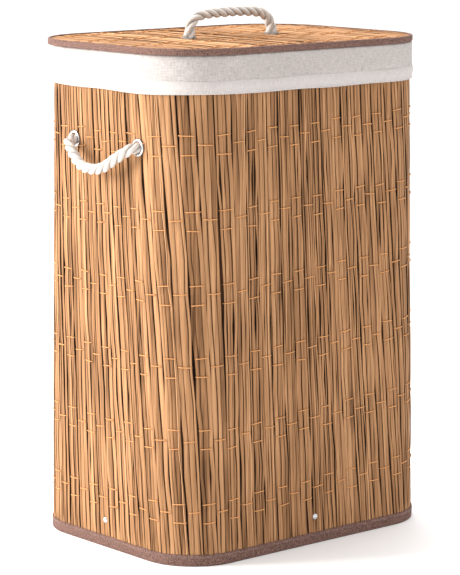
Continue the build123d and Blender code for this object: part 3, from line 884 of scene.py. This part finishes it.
def flat_cloth(plan, distance, outline, shares, heights, name, material):
    """A cloth that lies flat: rings that shrink from its outline to its middle, each with its heights."""
    middle = np.array([plan.centre_x, 0.0])
    rings = []
    for share, height in zip(shares, heights):
        rings.append(np.column_stack([(outline - middle) * share + middle, height]))
    skin = Skin()
    skin.grid(np.array(rings), np.append(distance, plan.length), np.append(shares, 0) * 0.15, wrap_u=True)
    return skin.make(name, material)


def liner_floor(distance, outline):
    """The bag's floor, a little domed, sewn to the lowest row of its wall."""
    shares = np.linspace(1, 0.03, 14)
    dome = waves(distance, wall_plan.length, 4, 3, 10, np.random.RandomState(5)) * 0.8 * MM
    heights = [BAG_FLOOR - 0.6 * MM + dome * math.sin(math.pi * share) for share in shares]
    floor_cloth = flat_cloth(wall_plan, distance, outline, shares, heights, "liner_floor_cloth", LINEN)
    place(floor_cloth, "liner", "linen", "liner_base")


def cuff_stitches():
    """The seam that closes the cuff's hem."""
    source = np.random.RandomState(83)
    count = int(wall_plan.length / (2.6 * MM))
    skin = Skin()
    for number in range(count):
        t = np.linspace(-0.5, 0.5, 4)
        distance = (number + 0.5) * wall_plan.length / count + t * 1.9 * MM
        rise = hem_high.x - HALF_X - 0.75 * MM + (0.25 - t**2) * 0.6 * MM
        x, y, _, _ = wall_plan.at(distance, rise, hem_high.z)
        z = hem_high.z - 1.4 * MM + 0 * t + source.uniform(-0.1, 0.1) * MM
        skin.tube(np.stack([x, y, z], -1), 0.2 * MM, 4)
    place(skin.make("cuff_hem_stitches", LINEN), "liner", "linen")


# ---- lid underside
def lid_lining():
    """Cloth glued under the lid, with faint puckers towards its edge."""
    source = np.random.RandomState(91)
    distance = around(lid_plan, 5 * MM)
    pucker = waves(distance, lid_plan.length, 6, 30, 110, source)
    x, y, _, _ = lid_plan.at(distance, -1.2 * MM)
    shares = np.concatenate([np.linspace(1, 0.8, 7), np.linspace(0.7, 0.02, 10)])
    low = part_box("lid_lining")[0].z + 0.1 * MM
    heights = [low + 0.15 * MM * pucker * smooth(0.75, 0.97, share) * (share < 0.99) for share in shares]
    outline = np.column_stack([x, y])
    piece = flat_cloth(lid_plan, distance, outline, shares, heights, "lid_lining_cloth", LINING_CLOTH)
    place(piece, "lid", "lining_cloth", "lid_lining")


# ---- metal
def lathe(skin, origin, outwards, profile, sides=40):
    """Turn a section about an axis. It is given in millimetres, as (distance along the axis, radius)."""
    axis = np.array(outwards, float)
    side = np.cross(axis, [0.0, 0.0, 1.0])
    side /= np.linalg.norm(side)
    up = np.cross(side, axis)
    angle = np.arange(sides)[:, None] / sides * 2 * np.pi
    ring = side * np.cos(angle) + up * np.sin(angle)
    along, radius = np.array(profile).T[:, :, None, None] * MM
    skin.grid(np.array(origin) + axis * along + ring * radius, wrap_u=True)


def eyelets():
    """Rolled eyelets of the side handles: a rounded flange, a barrel and a curled inner end."""
    bore = 6.6
    for side, sign in (("left", -1), ("right", 1)):
        low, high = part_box(f"{side}_eyelets")
        radius = (high.z - low.z) / 2
        rim = radius / MM
        profile = [
            (-0.2, rim - 0.4), (0.25, rim - 0.05), (0.8, rim - 0.1), (1.35, rim - 0.9), (1.6, rim - 2.0),
            (1.45, bore + 0.9), (0.9, bore + 0.25), (-0.2, bore), (-3.0, bore), (-5.2, bore + 0.1),
            (-5.9, bore + 0.7), (-5.8, bore + 1.6), (-5.0, bore + 1.7),
        ]
        skin = Skin()
        for y in (low.y + radius, high.y - radius):
            lathe(skin, (sign * HALF_X, y, low.z + radius), (sign, 0, 0), profile)
        place(skin.make(f"{side}_rolled_eyelets", METAL), "basket", "bright_metal", f"{side}_eyelets")


def rivets():
    """Domed rivets that hold the base loops."""
    height = sum(corner.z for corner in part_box("base_rivet_washers")) / 2
    dome = [(2.3, 0.05), (2.25, 0.9), (2.0, 1.9), (1.5, 2.9)]
    dome += [(0.8, 3.7), (0.1, 4.05), (-0.4, 3.9), (-0.4, 1.5)]
    tail = [(-7.6, 0.1), (-7.6, 2.2), (-7.1, 2.9), (-6.6, 2.9), (-6.4, 1.5), (-0.4, 1.5)]
    skin = Skin()
    for out_x, out_y in FACES.values():
        for profile in (dome, tail):
            lathe(skin, (out_x * HALF_X, out_y * HALF_Y, height), (out_x, out_y, 0), profile, 28)
    place(skin.make("base_rivet_domes", METAL), "basket", "bright_metal", "base_rivets")


# ---- rope
def spline_points(name, points):
    """Points of the smooth line through a rope's route, read from its NURBS curve."""
    curve = bpy.data.curves.new(name, "CURVE")
    curve.dimensions, curve.resolution_u = "3D", 14
    spline = curve.splines.new("NURBS")
    spline.points.add(len(points) - 1)
    for control, point in zip(spline.points, points):
        control.co = (*point, 1.0)
    spline.order_u = 3
    spline.use_endpoint_u = True
    holder = bpy.data.objects.new(name, curve)
    bpy.context.scene.collection.objects.link(holder)
    mesh = bpy.data.meshes.new_from_object(holder)
    line = np.array([vertex.co[:] for vertex in mesh.vertices])
    for group, made in ((bpy.data.objects, holder), (bpy.data.meshes, mesh), (bpy.data.curves, curve)):
        group.remove(made)
    return line


def evenly(line, spacing):
    """The same line with evenly spaced points, and its length."""
    walked = travelled(line)
    at = np.linspace(0, walked[-1], int(walked[-1] / spacing))
    return np.stack([np.interp(at, walked, line[:, i]) for i in range(3)], -1), walked[-1]


def lay_strands(skin, line, diameter, lay, start=0.0, hand=1.0, loosen=None):
    """Three strands twisted round a line, with a tone that falls where they meet: painted shade in the
    crevices.

    Loosen spreads the strands at places where it is above 1.
    """
    _, side, up = frames(line)
    walked = travelled(line)
    strand, helix = diameter * 0.29, diameter * 0.27     # radii of a strand and of its turns
    loosen = np.ones(len(line)) if loosen is None else loosen
    source = np.random.RandomState(int(start * 100) + 3)
    for number in range(3):
        angle = start + hand * 2 * np.pi * walked / lay + number * 2 * np.pi / 3
        reach = helix * loosen
        path = line + side * (np.cos(angle) * reach)[:, None] + up * (np.sin(angle) * reach)[:, None]
        swell = 1 + 0.04 * waves(walked, 0.3, 3, 4, 20, source)
        skin.tube(path, strand * swell * loosen**0.5, 14)
        # Painted shade: the tone falls on the parts of each strand that lie near the rope's middle.
        points = skin.points[-1].reshape(len(line) + 2, -1, 3)
        depth = np.linalg.norm(points - np.concatenate([line[:1], line, line[-1:]])[:, None], axis=2)
        skin.tones[-1] = smooth(0.28 * diameter, 0.52 * diameter, depth).reshape(-1)


# Route of the left handle from its rear eyelet to its front one, as in the CAD: metres along the wall from
# the handle's middle, out from the hinge axis, and above it. The first and last points are inside the wall.
SIDE_ROUTE = [
    (0.060, -0.0145, 0.0),
    (0.060, 0.0, 0.0),
    (0.053, 0.0054, -0.005),
    (0.038, 0.0104, -0.015),
    (0.017, 0.0144, -0.0285),
    (-0.017, 0.0144, -0.0285),
    (-0.038, 0.0104, -0.015),
    (-0.053, 0.0054, -0.005),
    (-0.060, 0.0, 0.0),
    (-0.060, -0.0145, 0.0),
]
# Route of the lid handle from left to right: metres along the lid and above the hinge axis. The first and
# last points are inside the lid.
LID_ROUTE = [
    (-0.0689, -0.0125),
    (-0.0687, 0.0),
    (-0.0670, 0.0098),
    (-0.0607, 0.0180),
    (-0.0456, 0.0214),
    (-0.0185, 0.0224),
    (0.0106, 0.0228),
    (0.0366, 0.0214),
    (0.0501, 0.0174),
    (0.0572, 0.0092),
    (0.0605, 0.0),
    (0.0607, -0.0125),
]


def fuzz(skin, line, radius, count, length, source):
    """Short stray fibres that stand off a rope."""
    along, side, up = frames(line)
    for _ in range(count):
        i = source.randint(2, len(line) - 2)
        angle = source.rand() * 2 * np.pi
        out = side[i] * math.cos(angle) + up[i] * math.sin(angle)
        drift = along[i] * source.uniform(-1, 1) + np.cross(out, along[i]) * source.uniform(-1, 1)
        t = np.linspace(0, 1, 4)[:, None]
        reach = source.uniform(0.4, 1.0) * length
        stand_off = radius * 0.85 + reach * (0.5 * t + 0.3 * t**2)
        path = line[i] + out * stand_off + drift * reach * t
        skin.tube(path, np.array([0.09, 0.08, 0.06, 0.03]) * MM, 3, tone=1.0, capped=False)


def side_handles():
    """The two drooping handles, each one rope that runs through its eyelets."""
    hinge = joints["left_handle_swing"]["pos_m"]
    for side, sign in (("left", -1), ("right", 1)):
        points = [(sign * (abs(hinge[0]) + out), hinge[1] + y, hinge[2] + z) for y, out, z in SIDE_ROUTE]
        line, length = evenly(spline_points(f"{side}_route", points), 1.6 * MM)
        skin = Skin()
        lay_strands(skin, line, ROPE, LAY, 0.6, hand=sign)
        fuzz(skin, line, ROPE / 2, 150, 3.0 * MM, np.random.RandomState(101))
        rope = skin.make(f"{side}_handle_rope", COTTON)
        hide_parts(f"{side}_handle")
        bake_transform(rope)


def lid_handle():
    """The lid's arched handle and the frayed tufts round its feet."""
    hinge = joints["lid_handle_tip"]["pos_m"]
    points = [(x, hinge[1], hinge[2] + z) for x, z in LID_ROUTE]
    line, length = evenly(spline_points("lid_route", points), 1.6 * MM)
    height = line[:, 2] - LID_TOP
    skin = Skin()
    lay_strands(skin, line, ROPE, LAY, 2.1, loosen=1 + 0.16 * (1 - smooth(2 * MM, 12 * MM, height)))
    fuzz(skin, line, ROPE / 2, 150, 3.0 * MM, np.random.RandomState(103))
    rope = skin.make("lid_handle_rope", COTTON)
    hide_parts("lid_handle")
    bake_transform(rope)
    source = np.random.RandomState(107)
    tufts = Skin()
    for foot in (points[0][0], points[-1][0]):
        for _ in range(230):
            angle = source.rand() * 2 * np.pi
            top = source.uniform(3, 10) * MM
            spread = source.uniform(5.8, 10.0) * MM
            t = np.linspace(0, 1, 6)
            radius = 5.4 * MM + (spread - 5.4 * MM) * t**3.5
            swirl = angle + source.uniform(-0.25, 0.25) * t
            z = LID_TOP + top * (1 - t) + 0.2 * MM * (1 - t)
            path = np.stack([foot + radius * np.cos(swirl), hinge[1] + radius * np.sin(swirl), z], -1)
            tufts.tube(path, np.linspace(0.38, 0.16, 6) * MM, 4, source.uniform(0.5, 1.0))
    place(tufts.make("lid_handle_frayed_feet", TUFT_COTTON), "lid", "cotton_rope")


def knots():
    """The rope's stopper knots inside the wall and under the lid, each with its frayed tail."""
    source = np.random.RandomState(111)
    t = np.linspace(0, 2 * np.pi, 90)
    trefoil = np.stack([np.sin(t) + 2 * np.sin(2 * t), np.cos(t) - 2 * np.cos(2 * t), -np.sin(3 * t)], -1)
    trefoil = trefoil / 3.0 * np.array([8.2, 8.2, 12.0]) * MM
    middle = 8.5 * MM                    # from a knot's flat face to its middle
    nodes = [f"{side}_handle_{end}_knot" for side in ("left", "right") for end in ("front", "back")]
    for node in nodes + ["lid_handle_left_knot", "lid_handle_right_knot"]:
        low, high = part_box(node)
        if node in nodes:
            body, turned, tail_way = "basket", trefoil[:, [2, 0, 1]], np.array([0.0, 0.15, -1.0])
            x = low.x + middle if low.x > 0 else high.x - middle
            centre = np.array([x, (low.y + high.y) / 2, high.z - 12 * MM])
        else:
            body, turned, tail_way = "lid", trefoil, np.array([0.55, 0.1, -0.8])
            centre = np.array([(low.x + high.x) / 2, 0.0, low.z + middle])
        skin = Skin()
        lay_strands(skin, centre + turned, 8.0 * MM, 26 * MM, 0.3)
        tail_way = tail_way / np.linalg.norm(tail_way)
        share = np.linspace(0, 1, 12)
        tail = centre + tail_way * share[:, None] * 26 * MM
        lay_strands(skin, tail, 8.5 * MM, 30 * MM, 1.1, loosen=1 + 0.3 * share**3)
        across = np.cross(tail_way, [1.0, 0.0, 0.2])
        across /= np.linalg.norm(across)
        other = np.cross(tail_way, across)
        for _ in range(60):
            angle, spread = source.rand() * 2 * np.pi, source.uniform(1.5, 4.2) * MM
            out = across * math.cos(angle) + other * math.sin(angle)
            share = np.linspace(0, 1, 5)[:, None]
            reach = source.uniform(3, 7) * MM
            path = tail[-1] + out * spread * (0.7 + 0.5 * share) + tail_way * share * reach
            skin.tube(path, 0.28 * MM, 4)
        place(skin.make(f"{node}_rope", COTTON), body, "cotton_rope", node)


# ---- CAD nodes that keep their shape
def dress_cad_nodes():
    """Materials for the CAD nodes that are shown as they are."""
    washers = ("base_rivet_washers", "left_eyelet_washers", "right_eyelet_washers")
    for node in ("base_board", "lid_board", *washers):
        materials = frame["nodes"][node].data.materials
        materials.clear()
        materials.append(METAL if node in washers else HARDBOARD)


# ---- camera, light and floor
def camera():
    """The photographer's place: in front and to the left, a little above the rim."""
    yaw, pitch = math.radians(40.47), math.radians(9.72)
    data = bpy.data.cameras.new("camera")
    data.sensor_width, data.lens = 36, 160.6
    data.clip_start, data.clip_end = 0.1, 200
    made = bpy.data.objects.new("camera", data)
    made.location = (-2.0090, -2.3482, 0.8206)
    forward = Vector((math.sin(yaw) * math.cos(pitch), math.cos(yaw) * math.cos(pitch), -math.sin(pitch)))
    made.rotation_euler = forward.to_track_quat("-Z", "Y").to_euler()
    bpy.context.scene.collection.objects.link(made)
    bpy.context.scene.camera = made


def area_light(name, where, aim, size, power, colour):
    """A rectangular soft light that points at a place."""
    data = bpy.data.lights.new(name, "AREA")
    data.shape = "RECTANGLE"
    data.size, data.size_y = size
    data.energy = power
    data.color = colour
    made = bpy.data.objects.new(name, data)
    made.location = where
    made.rotation_euler = (Vector(aim) - Vector(where)).to_track_quat("-Z", "Y").to_euler()
    bpy.context.scene.collection.objects.link(made)


def studio():
    """A pale floor, an even white surround, a soft key light from the left and a softer one from above."""
    skin = Skin()
    reach = 80.0
    skin.grid(np.array([[(x, y, 0.0) for x in (-reach, reach)] for y in (-reach, reach)]))
    finish = Finish("studio_floor", 0.9)
    finish.colour((0.96, 0.96, 0.96, 1.0))
    skin.make("studio_floor", finish.material)
    world = bpy.data.worlds.new("studio")
    world.use_nodes = True
    background = world.node_tree.nodes["Background"]
    background.inputs["Color"].default_value = (1.0, 1.0, 1.0, 1)
    background.inputs["Strength"].default_value = 1.19
    bpy.context.scene.world = world
    area_light("key", (-2.25, 1.5, 1.2), (-0.1, 0, 0.35), (1.0, 1.4), 130, (1.0, 0.98, 0.95))
    area_light("top", (0.2, 0.6, 2.4), (0, 0, 0.6), (1.2, 1.2), 46, (1.0, 1.0, 1.0))
    bpy.context.scene.view_settings.view_transform = "Standard"


camera()
studio()
dress_cad_nodes()
side_handles()
lid_handle()
knots()
wall_strips()
lid_strips()
bottom_binding()
top_binding()
lid_binding()
seam_tape()
frame_sleeves()
frame_wires()
base_loops()
liner()
cuff_stitches()
lid_lining()
eyelets()
rivets()
